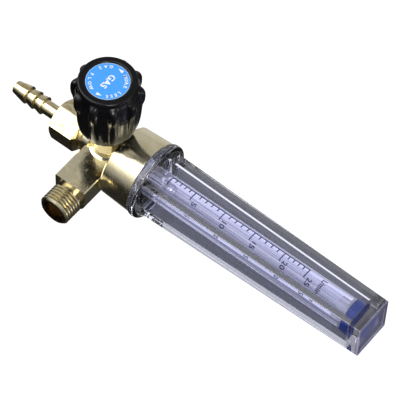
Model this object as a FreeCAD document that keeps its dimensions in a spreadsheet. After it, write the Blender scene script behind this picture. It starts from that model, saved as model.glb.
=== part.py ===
import FreeCAD, Part
import math
import os

import Sketcher
from FreeCAD import Placement, Rotation, Vector

# Gas flow meter with a needle valve, in millimetres.
#
# Frame: the origin is the centre of the inlet thread's end face. +X points out of the inlet,
# -Y is the front, where the knob is, and +Z is up, along the sight cover.
# Three axes cross or nearly cross in the body: the inlet axis (X), the valve axis (Y) and the
# tube axis (Z), which lies tube_offset in front of the inlet axis.

DRIVING_SIZES = {
    # inlet: G 1/4 male thread, cut as parallel grooves
    "thread_major_d": 13.157,
    "thread_minor_d": 11.445,
    "thread_pitch": 1.337,
    "thread_crest_width": 0.30,
    "thread_root_width": 0.24,
    "thread_end_chamfer": 0.80,
    "inlet_mouth_d": 9.2,
    "inlet_mouth_depth": 5.0,
    "inlet_bore_d": 5.0,
    "filter_thickness": 2.0,
    "filter_d": 8.6,
    # body
    "inlet_reach": 32.0,
    "arm_end_reach": 22.2,
    "arm_half_width": 7.1,
    "arm_front": 7.2,
    "arm_back_reach": 8.5,
    "arm_edge_round": 0.6,
    "tube_offset": 5.4,
    "valve_boss_height": 2.6,
    "valve_boss_d": 11.0,
    "valve_boss_round": 1.5,
    "outlet_boss_d": 11.0,
    "outlet_boss_end": 9.4,
    "outlet_port_d": 2.6,
    "outlet_port_front": 4.6,
    "socket_end_gap": 0.2,
    "cup_throat_d": 12.0,
    "boss_sink": 1.0,
    "cup_back": 7.6,
    "cup_floor": 11.0,
    "cup_depth": 10.3,
    "cup_back_d": 29.0,
    "cup_mouth_d": 30.3,
    "cup_back_chamfer": 0.7,
    "cup_bore_d": 25.1,
    "seat_well_d": 12.8,
    "seat_well_depth": 1.6,
    "rise_passage_d": 2.6,
    "rise_passage_side": 4.4,
    "rise_passage_front": 3.0,
    "return_passage_d": 2.6,
    "return_passage_back": 3.4,
    # valve, measured outwards along the valve axis from the inlet axis
    "seat_orifice_d": 2.4,
    "seat_height": 1.5,
    "seat_entry_depth": 4.6,
    "valve_chamber_d": 5.2,
    "gland_bore_depth": 3.7,
    "gland_bore_d": 8.2,
    "gland_washer_thickness": 0.4,
    "gland_across_flats": 9.6,
    "gland_hex_height": 8.4,
    "gland_hex_chamfer": 0.5,
    "gland_turn": 53.3,
    "ring_bore_d": 5.8,
    "spindle_d": 4.0,
    "spindle_waist_cut": 0.4,
    "spindle_travel": 2.1,
    "collar_end_gap": 0.3,
    "needle_tip_d": 0.9,
    "needle_length": 1.0,
    "spindle_collar_rise": 0.2,
    "spindle_collar_width": 0.6,
    "ring_groove_width": 1.4,
    "ring_groove_d": 3.3,
    "spindle_top_gap": 1.1,
    "running_gap": 0.05,
    "screw_hole_depth": 9.0,
    # knob, measured outwards along the valve axis
    "knob_clearance": 2.1,
    "knob_height": 28.7,
    "knob_bottom_d": 17.4,
    "knob_waist_rise": 6.7,
    "knob_waist_d": 23.6,
    "knob_lobe_low_rise": 15.7,
    "knob_lobe_low_d": 26.8,
    "knob_lobe_high_rise": 24.1,
    "knob_lobe_high_d": 27.8,
    "knob_shoulder_rise": 26.5,
    "knob_shoulder_d": 24.6,
    "knob_rim_d": 22.0,
    "knob_label_recess": 0.7,
    "knob_wall": 2.4,
    "knob_hub_d": 12.0,
    "knob_hub_rise": 2.0,
    "knob_web_rise": 20.0,
    "knob_flute_d": 6.4,
    "knob_flute_depth": 2.9,
    "knob_flute_count": 10,
    "knob_flute_turn": 30.7,
    "insert_d": 8.0,
    "insert_rise": 4.0,
    "screw_seat_rise": 24.5,
    "screw_head_d": 5.6,
    "screw_head_height": 1.8,
    "screw_d": 3.0,
    "screw_length": 10.5,
    "screw_slot_width": 0.8,
    "screw_slot_depth": 0.8,
    "screw_washer_d": 6.0,
    "screw_recess_gap": 0.2,
    "screw_washer_thickness": 0.5,
    "label_d": 16.4,
    "label_edge_gap": 0.3,
    "label_thickness": 0.3,
    # hose barb, measured along the tube axis below the inlet axis
    "barb_washer_d": 12.6,
    "barb_washer_thickness": 1.4,
    "barb_across_flats": 15.0,
    "barb_hex_length": 12.4,
    "barb_hex_chamfer": 1.1,
    "barb_hex_turn": 24.5,
    "barb_thread_d": 6.4,
    "barb_thread_length": 5.6,
    "barb_bore_d": 3.4,
    "barb_tail_length": 21.8,
    "barb_shank_d": 5.8,
    "barb_ridge_d": 7.6,
    "barb_ridge_pitch": 3.9,
    "barb_land_width": 0.3,
    "barb_tip_d": 5.2,
    "barb_tip_length": 6.3,
    # sight cover, measured along the tube axis above the inlet axis
    "flange_thickness": 3.4,
    "flange_margin": 1.77,
    "flange_round": 1.1,
    "cover_ring_section": 1.6,
    "spigot_wall": 2.2,
    "cover_draft": 0.01414,
    "cover_tube_gap": 0.735,
    "cover_length": 99.0,
    "cover_end_wall": 6.0,
    "cover_wall": 2.6,
    "cover_inset_margin": 1.6,
    "cover_inset_depth": 0.4,
    "cover_edge_round": 0.5,
    # flow tube and what holds it
    "tube_d": 10.4,
    "tube_seal_thickness": 2.0,
    "pad_thickness": 3.9,
    "tube_jet_d": 3.0,
    "tube_jet_length": 13.5,
    "ball_side_gap": 0.3,
    "tube_bore_spread": 1.6,
    "tube_gap": 0.1,
    "seat_cup_wall": 0.8,
    "seat_cup_depth": 4.6,
    "seat_floor_rise": 1.0,
    "seat_hole_d": 3.2,
    "stop_plug_length": 4.0,
    "stop_flange_thickness": 1.2,
    "stop_hole_d": 3.0,
    "pad_side_gap": 0.2,
    "ball_d": 5.2,
    "ball_rest_gap": 0.1,
    # how far a tool runs past the face it cuts or joins
    "overlap": 1.0,
}

doc = FreeCAD.newDocument("gas_flow_meter")
sheet = doc.addObject("Spreadsheet::Sheet", "sizes")
for row, (alias, number) in enumerate(DRIVING_SIZES.items(), start=1):
    sheet.set(f"A{row}", alias)
    sheet.set(f"B{row}", str(number))
    sheet.setAlias(f"B{row}", alias)
doc.recompute()


class Size:
    """A length with the number it has now and the formula over the sheet that gives it."""

    def __init__(self, number, formula):
        self.number = float(number)
        self.formula = formula

    def join(self, sign, other, number):
        return Size(number, f"({self.formula} {sign} {as_size(other).formula})")

    def __add__(self, other):
        return self.join("+", other, self.number + as_size(other).number)

    def __radd__(self, other):
        return as_size(other) + self

    def __sub__(self, other):
        return self.join("-", other, self.number - as_size(other).number)

    def __rsub__(self, other):
        return as_size(other) - self

    def __mul__(self, other):
        return self.join("*", other, self.number * as_size(other).number)

    def __rmul__(self, other):
        return as_size(other) * self

    def __truediv__(self, other):
        return self.join("/", other, self.number / as_size(other).number)

    def __neg__(self):
        return ZERO - self


def as_size(thing):
    return thing if isinstance(thing, Size) else Size(thing, str(thing))


class Sheet:
    """Gives each driving size of the spreadsheet by its name."""

    def __getattr__(self, alias):
        return Size(getattr(sheet, alias), f"sizes.{alias}")


ZERO = Size(0, "0")
mm = Sheet()

# Lengths that follow from the driving sizes.
THREAD_COUNT = 6
RIDGE_COUNT = 3
HEX_CORNER = 2 / math.sqrt(3)  # circumscribed over inscribed radius of a hexagon
SQUARE_DIAGONAL = math.sqrt(2)
ARC_MIDDLE = 1 - math.sqrt(0.5)  # how far a quarter arc's middle stands off its tangents
valve_boss_top = mm.arm_front + mm.valve_boss_height
hex_top = valve_boss_top + mm.gland_hex_height
gland_step = valve_boss_top - mm.gland_bore_depth
gland_plug_start = gland_step + mm.gland_washer_thickness
collar_start = gland_step + mm.spindle_collar_rise
collar_end = collar_start + mm.spindle_collar_width
groove_end = collar_end + mm.ring_groove_width
second_collar_end = groove_end + mm.spindle_collar_width
ring_bore_end = second_collar_end + mm.spindle_travel + mm.collar_end_gap
ring_section_d = (mm.ring_bore_d - mm.ring_groove_d) / 2 - mm.running_gap
knob_bottom = hex_top + mm.knob_clearance
knob_waist = knob_bottom + mm.knob_waist_rise
knob_lobe_low = knob_bottom + mm.knob_lobe_low_rise
knob_lobe_high = knob_bottom + mm.knob_lobe_high_rise
knob_shoulder = knob_bottom + mm.knob_shoulder_rise
knob_top = knob_bottom + mm.knob_height
knob_web_bottom = knob_bottom + mm.knob_web_rise
spindle_top = knob_web_bottom - mm.spindle_top_gap
insert_bottom = knob_bottom + mm.insert_rise
screw_seat = knob_bottom + mm.screw_seat_rise
label_start = knob_top - mm.knob_label_recess
cup_mouth = mm.cup_floor + mm.cup_depth
spigot_end = mm.cup_floor + mm.cover_ring_section
flange_top = cup_mouth + mm.flange_thickness
cover_end = flange_top + mm.cover_length
thread_flank = (mm.thread_pitch - mm.thread_crest_width - mm.thread_root_width) / 2
hex_end = mm.outlet_boss_end + mm.barb_washer_thickness
barb_thread_start = hex_end - mm.barb_thread_length
barb_root = hex_end + mm.barb_hex_length
barb_tip = barb_root + mm.barb_tail_length
cavity_end = cover_end - mm.cover_end_wall
cavity_end_side = mm.tube_d + 2 * mm.cover_tube_gap
cover_end_side = cavity_end_side + 2 * mm.cover_wall - 2 * mm.cover_draft * mm.cover_end_wall
cover_base_side = cover_end_side + 2 * mm.cover_draft * mm.cover_length
cavity_base_side = cover_base_side - 2 * mm.cover_wall
flange_d = cover_base_side * SQUARE_DIAGONAL + 2 * mm.flange_margin
seat_floor_top = mm.cup_floor + mm.seat_floor_rise
tube_bottom = seat_floor_top + mm.tube_seal_thickness
tube_top = cavity_end - mm.pad_thickness - mm.stop_flange_thickness
tube_bore_start = tube_bottom + mm.tube_jet_length
tube_bore_low_d = mm.ball_d + 2 * mm.ball_side_gap
tube_bore_high_d = tube_bore_low_d + mm.tube_bore_spread
ball_rest = tube_bore_start + mm.ball_d / 2 + mm.ball_rest_gap

# How a piece made along its own +Z is turned to lie on one of the three axes.
UP = Rotation()
DOWN = Rotation(Vector(1, 0, 0), 180)
TO_FRONT = Rotation(Vector(1, 0, 0), 90)
TO_INLET = Rotation(Vector(0, 1, 0), 90)


def bind(thing, name, size):
    thing.setExpression(name, as_size(size).formula)


def place(thing, turn, across=ZERO, depth=ZERO, height=ZERO):
    """Puts a piece at (across, depth, height) in the frame, all three bound to the sheet."""
    start = Vector(across.number, depth.number, height.number)
    thing.Placement = Placement(start, turn)
    for letter, size in zip("xyz", (across, depth, height)):
        bind(thing, f"Placement.Base.{letter}", size)
    return thing


def on_inlet_axis(thing, start=ZERO):
    return place(thing, TO_INLET, across=start)


def on_valve_axis(thing, start=ZERO):
    return place(thing, TO_FRONT, across=-mm.inlet_reach, depth=-start)


def on_tube_axis(thing, start=ZERO, turn=UP):
    return place(thing, turn, across=-mm.inlet_reach, depth=-mm.tube_offset, height=start)


def origin_plane(body, role):
    return next(plane for plane in body.Origin.OriginFeatures if plane.Role == role)


def sketch_on(body, role, name):
    sketch = body.newObject("Sketcher::SketchObject", name)
    sketch.AttachmentSupport = [(origin_plane(body, role), "")]
    sketch.MapMode = "FlatFace"
    return sketch


def pin_vertex(sketch, edge, across, up):
    """Ties the start point of an edge to the sketch axes, by named sizes."""
    for kind, axis, size in (("DistanceX", -2, across), ("DistanceY", -1, up)):
        if size.formula == "0":
            sketch.addConstraint(Sketcher.Constraint("PointOnObject", edge, 1, axis))
        else:
            rule = sketch.addConstraint(Sketcher.Constraint(kind, -1, 1, edge, 1, size.number))
            bind(sketch, f"Constraints[{rule}]", size)


def closed_outline(sketch, corners):
    """Draws straight edges through the corners and closes them."""
    corners = [(as_size(across), as_size(up)) for across, up in corners]
    points = [Vector(across.number, up.number, 0) for across, up in corners]
    for start, end in zip(points, points[1:] + points[:1]):
        sketch.addGeometry(Part.LineSegment(start, end), False)
    for edge in range(len(points)):
        following = (edge + 1) % len(points)
        sketch.addConstraint(Sketcher.Constraint("Coincident", edge, 2, following, 1))
    for edge, (across, up) in enumerate(corners):
        pin_vertex(sketch, edge, across, up)


def turned(name, corners):
    """A piece turned about its own Z axis. Corners are (radius, height)."""
    body = doc.addObject("PartDesign::Body", name)
    sketch = sketch_on(body, "XZ_Plane", f"{name}_outline")
    closed_outline(sketch, corners)
    turn = body.newObject("PartDesign::Revolution", f"{name}_turn")
    turn.Profile = sketch
    turn.ReferenceAxis = (sketch, ["V_Axis"])
    turn.Angle = 360.0
    body.Tip = turn
    return body


def cylinder(name, diameter, length):
    tool = doc.addObject("Part::Cylinder", name)
    bind(tool, "Radius", diameter / 2)
    bind(tool, "Height", length)
    return tool


def torus(name, middle_d, section_d):
    tool = doc.addObject("Part::Torus", name)
    bind(tool, "Radius1", middle_d / 2)
    bind(tool, "Radius2", section_d / 2)
    return tool


def hexagon(name, across_flats, length):
    tool = doc.addObject("Part::Prism", name)
    tool.Polygon = 6
    bind(tool, "Circumradius", across_flats / 2 * HEX_CORNER)
    bind(tool, "Height", length)
    return tool


def square_taper(name, low_side, high_side, length):
    """A square bar along +Z from z = 0, low_side across at the start and high_side at the end."""
    body = doc.addObject("PartDesign::Body", name)
    ends = []
    for label, side, height in (("start", low_side, ZERO), ("end", high_side, length)):
        sketch = sketch_on(body, "XY_Plane", f"{name}_{label}")
        bind(sketch, "AttachmentOffset.Base.z", height)
        half = side / 2
        closed_outline(sketch, [(-half, -half), (half, -half), (half, half), (-half, half)])
        ends.append(sketch)
    loft = body.newObject("PartDesign::AdditiveLoft", f"{name}_loft")
    loft.Profile = ends[0]
    loft.Sections = [ends[1]]
    loft.Ruled = True
    body.Tip = loft
    return body


def joined(name, *pieces):
    union = doc.addObject("Part::MultiFuse", name)
    union.Shapes = list(pieces)
    union.Refine = True
    return union


def shared(name, first, second):
    common = doc.addObject("Part::MultiCommon", name)
    common.Shapes = [first, second]
    common.Refine = True
    return common


def drilled(name, base, *tools):
    """The base with every tool cut away."""
    cutter = tools[0] if len(tools) == 1 else joined(f"{name}_cutters", *tools)
    cut = doc.addObject("Part::Cut", name)
    cut.Base = base
    cut.Tool = cutter
    cut.Refine = True
    return cut


def rounded(name, base, radius, wanted):
    """Rounds the edges of base that the test picks, all to one radius."""
    doc.recompute()
    numbers = [i for i, edge in enumerate(base.Shape.Edges, start=1) if wanted(edge)]
    fillet = doc.addObject("Part::Fillet", name)
    fillet.Base = base
    fillet.Edges = [(number, radius.number, radius.number) for number in numbers]
    return fillet


def close_to(first, second):
    return abs(first - second) < 1e-4


# ---------------------------------------------------------------- brass body


def inlet_spigot():
    """The threaded nose: crests of one diameter, an undercut neck and an end chamfer."""
    crest = mm.thread_major_d / 2
    root = mm.thread_minor_d / 2
    arm_face = mm.inlet_reach - mm.arm_end_reach
    height = -mm.thread_end_chamfer
    corners = [(ZERO, ZERO), (crest - mm.thread_end_chamfer, ZERO), (crest, height)]
    for turn in range(THREAD_COUNT):
        crest_end = height - mm.thread_crest_width
        root_start = crest_end - thread_flank
        root_end = root_start - mm.thread_root_width
        corners += [(crest, crest_end), (root, root_start), (root, root_end)]
        height = root_end - thread_flank
        if turn < THREAD_COUNT - 1:
            corners.append((crest, height))
    corners += [(root, -arm_face - mm.overlap), (ZERO, -arm_face - mm.overlap)]
    return on_inlet_axis(turned("inlet_spigot", corners))


def arm():
    """The D-shaped arm: flat in front, round behind."""
    length = mm.arm_end_reach + mm.arm_back_reach
    start = -mm.inlet_reach - mm.arm_back_reach
    flat = doc.addObject("Part::Box", "arm_flat")
    bind(flat, "Length", length)
    bind(flat, "Width", mm.arm_front)
    bind(flat, "Height", 2 * mm.arm_half_width)
    place(flat, UP, start, -mm.arm_front, -mm.arm_half_width)
    back = on_inlet_axis(cylinder("arm_back", 2 * mm.arm_half_width, length), start)
    whole = joined("arm_whole", flat, back)

    def front_edge(edge):
        box = edge.BoundBox
        return close_to(box.YMax, -mm.arm_front.number) and box.XLength > mm.arm_end_reach.number

    return rounded("arm", whole, mm.arm_edge_round, front_edge)


def valve_boss():
    """The round boss that the gland screws into, spread at its foot."""
    radius = mm.valve_boss_d / 2
    foot = mm.arm_front - mm.arm_edge_round
    spread = mm.valve_boss_round
    corners = [(ZERO, foot), (radius + spread, foot), (radius + spread, mm.arm_front)]
    corners += [(radius + spread * ARC_MIDDLE, mm.arm_front + spread * ARC_MIDDLE)]
    corners += [(radius, mm.arm_front + spread), (radius, valve_boss_top), (ZERO, valve_boss_top)]
    return on_valve_axis(turned("valve_boss", corners))


def tube_cup():
    """The round cup that takes the cover, and the solid behind its floor."""
    back = mm.cup_back_d / 2
    chamfer = mm.cup_back_chamfer
    corners = [(ZERO, mm.cup_back), (back - chamfer, mm.cup_back), (back, mm.cup_back + chamfer)]
    corners += [(mm.cup_mouth_d / 2, cup_mouth), (ZERO, cup_mouth)]
    return on_tube_axis(turned("tube_cup", corners))


def body():
    throat_start = mm.arm_half_width - mm.boss_sink
    throat = cylinder("cup_throat", mm.cup_throat_d, mm.cup_floor - throat_start)
    on_tube_axis(throat, throat_start)
    boss_length = mm.outlet_boss_end - throat_start
    outlet_boss = cylinder("outlet_boss", mm.outlet_boss_d, boss_length)
    on_tube_axis(outlet_boss, -mm.outlet_boss_end)
    solid = joined("body_solid", arm(), inlet_spigot(), valve_boss(), tube_cup(), throat, outlet_boss)

    bore_end = mm.inlet_reach - mm.rise_passage_side + mm.rise_passage_d / 2
    mouth = cylinder("inlet_mouth", mm.inlet_mouth_d, mm.inlet_mouth_depth)
    on_inlet_axis(mouth, -mm.inlet_mouth_depth)
    pocket_d = mm.filter_d + 2 * mm.running_gap
    pocket_end = mm.inlet_mouth_depth + mm.filter_thickness
    pocket = on_inlet_axis(cylinder("filter_pocket", pocket_d, pocket_end), -pocket_end)
    inlet = on_inlet_axis(cylinder("inlet_bore", mm.inlet_bore_d, bore_end), -bore_end)
    well_floor = mm.cup_floor - mm.seat_well_depth
    rise = cylinder("rise_passage", mm.rise_passage_d, well_floor + mm.overlap)
    rise_across = mm.rise_passage_side - mm.inlet_reach
    place(rise, UP, rise_across, -mm.rise_passage_front)
    well = on_tube_axis(cylinder("seat_well", mm.seat_well_d, mm.seat_well_depth + mm.overlap), well_floor)
    cup = on_tube_axis(cylinder("cup_bore", mm.cup_bore_d, cup_mouth), mm.cup_floor)
    back_cut = cylinder("return_passage", mm.return_passage_d, mm.cup_floor + mm.return_passage_d)
    place(back_cut, UP, -mm.inlet_reach, mm.return_passage_back, -mm.return_passage_d / 2)

    orifice_start = -mm.seat_entry_depth
    orifice_length = mm.seat_height + mm.seat_entry_depth
    orifice = on_valve_axis(cylinder("orifice", mm.seat_orifice_d, orifice_length), orifice_start)
    chamber_length = gland_step - mm.seat_height
    chamber = on_valve_axis(cylinder("chamber", mm.valve_chamber_d, chamber_length), mm.seat_height)
    gland = on_valve_axis(cylinder("gland_bore", mm.gland_bore_d, valve_boss_top), gland_step)
    socket_depth = mm.outlet_boss_end - barb_thread_start + mm.socket_end_gap
    outlet = cylinder("outlet_port", mm.outlet_port_d, barb_thread_start)
    place(outlet, DOWN, -mm.inlet_reach, -mm.outlet_port_front)
    socket_d = mm.barb_thread_d + 2 * mm.running_gap
    socket = on_tube_axis(cylinder("outlet_socket", socket_d, socket_depth), -mm.outlet_boss_end)
    cuts = (mouth, pocket, inlet, rise, well, cup, back_cut, orifice, chamber, gland, outlet, socket)
    return drilled("body", solid, *cuts)


# ---------------------------------------------------------------- inlet filter, outlet barb


def inlet_filter():
    start = -(mm.inlet_mouth_depth + mm.filter_thickness)
    return on_inlet_axis(cylinder("inlet_filter", mm.filter_d, mm.filter_thickness), start)


def hose_barb():
    """Made downwards: thread, hexagon, then a tail with sharp ridges and a bore."""
    bore = mm.barb_bore_d / 2
    corner = mm.barb_across_flats / 2 * HEX_CORNER
    flat = mm.barb_across_flats / 2
    chamfer = mm.barb_hex_chamfer
    shank = mm.barb_shank_d / 2
    ridge = mm.barb_ridge_d / 2
    thread = mm.barb_thread_d / 2

    blank = turned("barb_hex_blank", [
        (bore, hex_end), (flat - chamfer / 2, hex_end), (corner, hex_end + chamfer),
        (corner, barb_root - chamfer), (flat - chamfer / 2, barb_root), (bore, barb_root),
    ])
    prism = hexagon("barb_hex_prism", mm.barb_across_flats, mm.barb_hex_length)
    for piece, start in ((blank, ZERO), (prism, hex_end)):
        on_tube_axis(piece, -start, DOWN)
    prism.Placement.Rotation = DOWN * Rotation(Vector(0, 0, 1), sheet.barb_hex_turn)

    stem = on_tube_axis(turned("barb_thread", [
        (bore, barb_thread_start), (thread, barb_thread_start),
        (thread, hex_end + mm.overlap), (bore, hex_end + mm.overlap),
    ]), ZERO, DOWN)

    last_ridge = barb_tip - mm.barb_tip_length
    first_ridge = last_ridge - (RIDGE_COUNT - 1) * mm.barb_ridge_pitch
    land = mm.barb_land_width
    start = barb_root - mm.overlap
    corners = [(bore, start), (shank, start), (shank, first_ridge)]
    for number in range(RIDGE_COUNT - 1):
        height = first_ridge + number * mm.barb_ridge_pitch
        corners += [(ridge, height), (ridge, height + land), (shank, height + mm.barb_ridge_pitch)]
    corners += [(ridge, last_ridge), (ridge, last_ridge + land)]
    corners += [(mm.barb_tip_d / 2, barb_tip), (bore, barb_tip)]
    tail = on_tube_axis(turned("barb_tail", corners), ZERO, DOWN)
    return joined("hose_barb", shared("barb_hex", blank, prism), stem, tail)


def ring(name, outer_d, inner_d, thickness):
    outer = outer_d / 2
    inner = inner_d / 2
    return turned(name, [(inner, ZERO), (outer, ZERO), (outer, thickness), (inner, thickness)])


def barb_washer():
    bore = mm.barb_thread_d + 2 * mm.running_gap
    washer = ring("barb_washer", mm.barb_washer_d, bore, mm.barb_washer_thickness)
    return on_tube_axis(washer, -hex_end)


# ---------------------------------------------------------------- gland, spindle and seals


def gland_nut():
    """Hexagon over a threaded plug; the plug is bored wide for the spindle's seal."""
    wide = mm.ring_bore_d / 2
    narrow = mm.spindle_d / 2 + mm.running_gap
    plug = mm.gland_bore_d / 2 - mm.running_gap
    corner = mm.gland_across_flats / 2 * HEX_CORNER
    chamfer = mm.gland_hex_chamfer
    blank = turned("gland_blank", [
        (wide, gland_plug_start), (plug, gland_plug_start), (plug, valve_boss_top),
        (corner, valve_boss_top), (corner, hex_top - chamfer), (corner - 2 * chamfer, hex_top),
        (narrow, hex_top), (narrow, ring_bore_end), (wide, ring_bore_end),
    ])
    on_valve_axis(blank)
    length = hex_top - gland_plug_start
    prism = on_valve_axis(hexagon("gland_prism", mm.gland_across_flats, length), gland_plug_start)
    prism.Placement.Rotation = TO_FRONT * Rotation(Vector(0, 0, 1), sheet.gland_turn)
    return shared("gland_nut", blank, prism)


def gland_washer():
    outer = mm.gland_bore_d - 2 * mm.running_gap
    washer = ring("gland_washer", outer, mm.ring_bore_d, mm.gland_washer_thickness)
    return on_valve_axis(washer, gland_step)


def valve_spindle():
    """Needle, waist, two collars that hold the seal between them, screw shank and screw hole."""
    tip = mm.needle_tip_d / 2
    waist = mm.spindle_d / 2 - mm.spindle_waist_cut
    collar = mm.ring_bore_d / 2 - 2 * mm.running_gap
    groove = mm.ring_groove_d / 2
    shank = mm.spindle_d / 2
    hole = mm.screw_d / 2
    needle_root = mm.seat_orifice_d / 2 - mm.running_gap
    hole_floor = spindle_top - mm.screw_hole_depth
    spindle = turned("valve_spindle", [
        (ZERO, mm.seat_height - mm.needle_length), (tip, mm.seat_height - mm.needle_length),
        (needle_root, mm.seat_height), (waist, mm.seat_height + mm.needle_length),
        (waist, collar_start), (collar, collar_start),
        (collar, collar_end), (groove, collar_end), (groove, groove_end), (collar, groove_end),
        (collar, second_collar_end), (shank, second_collar_end), (shank, spindle_top),
        (hole, spindle_top), (hole, hole_floor), (ZERO, hole_floor),
    ])
    return on_valve_axis(spindle)


def spindle_o_ring():
    middle = (mm.ring_bore_d + mm.ring_groove_d) / 2
    height = collar_end + mm.ring_groove_width / 2
    return on_valve_axis(torus("spindle_o_ring", middle, ring_section_d), height)


# ---------------------------------------------------------------- knob group


def knob():
    """A fluted cup with a hub inside and a shallow recess for the label on top."""
    wall = mm.knob_wall
    hub = mm.knob_hub_d / 2
    socket = mm.insert_d / 2
    recess = mm.label_d / 2 + mm.label_edge_gap
    head = mm.screw_washer_d / 2 + mm.screw_recess_gap
    hole = mm.screw_d / 2 + mm.running_gap
    ceiling = knob_web_bottom
    hub_bottom = knob_bottom + mm.knob_hub_rise
    bottom = mm.knob_bottom_d / 2
    waist = mm.knob_waist_d / 2
    blank = turned("knob_blank", [
        (bottom, knob_bottom), (waist, knob_waist),
        (mm.knob_lobe_low_d / 2, knob_lobe_low), (mm.knob_lobe_high_d / 2, knob_lobe_high),
        (mm.knob_shoulder_d / 2, knob_shoulder), (mm.knob_rim_d / 2, knob_top),
        (recess, knob_top), (recess, label_start), (head, label_start),
        (head, screw_seat), (hole, screw_seat), (hole, ceiling), (socket, ceiling),
        (socket, hub_bottom), (hub, hub_bottom), (hub, ceiling),
        (waist - wall, ceiling), (waist - wall, knob_waist), (bottom - wall, knob_bottom),
    ])
    on_valve_axis(blank)
    flutes = []
    count = int(sheet.knob_flute_count)
    flute_length = knob_shoulder - knob_bottom
    flute_reach = (mm.knob_lobe_high_d + mm.knob_flute_d) / 2 - mm.knob_flute_depth
    for number in range(count):
        angle = math.radians(360.0 * number / count + sheet.knob_flute_turn)
        flute = cylinder(f"knob_flute_{number + 1}", mm.knob_flute_d, flute_length)
        across = flute_reach * math.cos(angle)
        up = flute_reach * math.sin(angle)
        flutes.append(place(flute, TO_FRONT, across - mm.inlet_reach, -knob_bottom, up))
    return drilled("knob", blank, *flutes)


def knob_insert():
    bush = ring("knob_insert", mm.insert_d, mm.spindle_d, knob_web_bottom - insert_bottom)
    return on_valve_axis(bush, insert_bottom)


def screw_washer():
    bore = mm.screw_d + 2 * mm.running_gap
    washer = ring("screw_washer", mm.screw_washer_d, bore, mm.screw_washer_thickness)
    return on_valve_axis(washer, screw_seat)


def knob_screw():
    """Slotted cheese-head screw down the knob's middle into the spindle."""
    seat = screw_seat + mm.screw_washer_thickness
    shank = mm.screw_d / 2
    head = mm.screw_head_d / 2
    top = seat + mm.screw_head_height
    blank = on_valve_axis(turned("knob_screw_blank", [
        (ZERO, seat - mm.screw_length), (shank, seat - mm.screw_length), (shank, seat),
        (head, seat), (head, top), (ZERO, top),
    ]))
    slot = doc.addObject("Part::Box", "knob_screw_slot")
    bind(slot, "Length", mm.screw_head_d + 2 * mm.overlap)
    bind(slot, "Width", mm.screw_slot_depth + mm.overlap)
    bind(slot, "Height", mm.screw_slot_width)
    across = -mm.inlet_reach - mm.screw_head_d / 2 - mm.overlap
    place(slot, UP, across, -top - mm.overlap, -mm.screw_slot_width / 2)
    return drilled("knob_screw", blank, slot)


def knob_label():
    return on_valve_axis(cylinder("knob_label", mm.label_d, mm.label_thickness), label_start)


# ---------------------------------------------------------------- sight cover


def sight_cover():
    """Screwed spigot, round flange, and a square bar drafted towards its closed end."""
    spigot_d = mm.cup_bore_d - 2 * mm.running_gap
    outer = spigot_d / 2
    flange = flange_d / 2
    edge = mm.flange_round
    low_corner = cup_mouth + edge
    high_corner = flange_top - edge
    disc = on_tube_axis(turned("cover_flange", [
        (ZERO, spigot_end), (outer, spigot_end), (outer, cup_mouth),
        (flange - edge, cup_mouth),
        (flange - ARC_MIDDLE * edge, cup_mouth + ARC_MIDDLE * edge),
        (flange, low_corner), (flange, high_corner),
        (flange - ARC_MIDDLE * edge, flange_top - ARC_MIDDLE * edge), (flange - edge, flange_top),
        (ZERO, flange_top),
    ]))
    sunk_side = cover_base_side + 2 * mm.cover_draft * mm.overlap
    bar = square_taper("cover_bar", sunk_side, cover_end_side, mm.cover_length + mm.overlap)
    on_tube_axis(bar, flange_top - mm.overlap)

    well_d = spigot_d - 2 * mm.spigot_wall
    well = on_tube_axis(cylinder("cover_well", well_d, cup_mouth - spigot_end), spigot_end)
    cavity_start = cup_mouth - mm.overlap
    low_side = cavity_base_side + 2 * mm.cover_draft * (flange_top - cavity_start)
    cavity = square_taper("cover_cavity", low_side, cavity_end_side, cavity_end - cavity_start)
    on_tube_axis(cavity, cavity_start)
    inset_side = cover_end_side - 2 * mm.cover_inset_margin
    inset = square_taper("cover_inset", inset_side, inset_side, mm.cover_inset_depth + mm.overlap)
    on_tube_axis(inset, cover_end - mm.cover_inset_depth)
    whole = drilled("cover_whole", joined("cover_solid", disc, bar), well, cavity, inset)
    return rounded("sight_cover", whole, mm.cover_edge_round, is_cover_corner)


def is_cover_corner(edge):
    """The four long outer corners of the square bar."""
    box = edge.BoundBox
    reach = abs(box.Center.x + mm.inlet_reach.number)
    return box.ZLength > flange_d.number and reach > cavity_base_side.number / 2


def cover_o_ring():
    section = mm.cover_ring_section
    middle = mm.cup_bore_d - section
    height = mm.cup_floor + section / 2
    return on_tube_axis(torus("cover_o_ring", middle, section), height)


# ---------------------------------------------------------------- flow tube


def tube_seat():
    """Brass cup in the body's well that carries the glass tube."""
    outer = mm.tube_d / 2 + mm.tube_gap + mm.seat_cup_wall
    inner = mm.tube_d / 2 + mm.tube_gap
    hole = mm.seat_hole_d / 2
    base = mm.seat_well_d / 2 - mm.running_gap
    start = mm.cup_floor - mm.seat_well_depth / 2
    cup_top = tube_bottom + mm.seat_cup_depth
    seat = turned("tube_seat", [
        (hole, start), (base, start), (base, seat_floor_top), (outer, seat_floor_top),
        (outer, cup_top), (inner, cup_top), (inner, seat_floor_top),
        (hole, seat_floor_top),
    ])
    return on_tube_axis(seat)


def tube_seal_lower():
    seal = ring("tube_seal_lower", mm.tube_d, mm.seat_hole_d, mm.tube_seal_thickness)
    return on_tube_axis(seal, seat_floor_top)


def flow_tube():
    """Clear tube: a jet below, then a bore that widens upwards so the ball reads the flow."""
    outer = mm.tube_d / 2
    jet = mm.tube_jet_d / 2
    tube = turned("flow_tube", [
        (jet, tube_bottom), (outer, tube_bottom), (outer, tube_top),
        (tube_bore_high_d / 2, tube_top), (tube_bore_low_d / 2, tube_bore_start),
        (jet, tube_bore_start),
    ])
    return on_tube_axis(tube)


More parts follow.
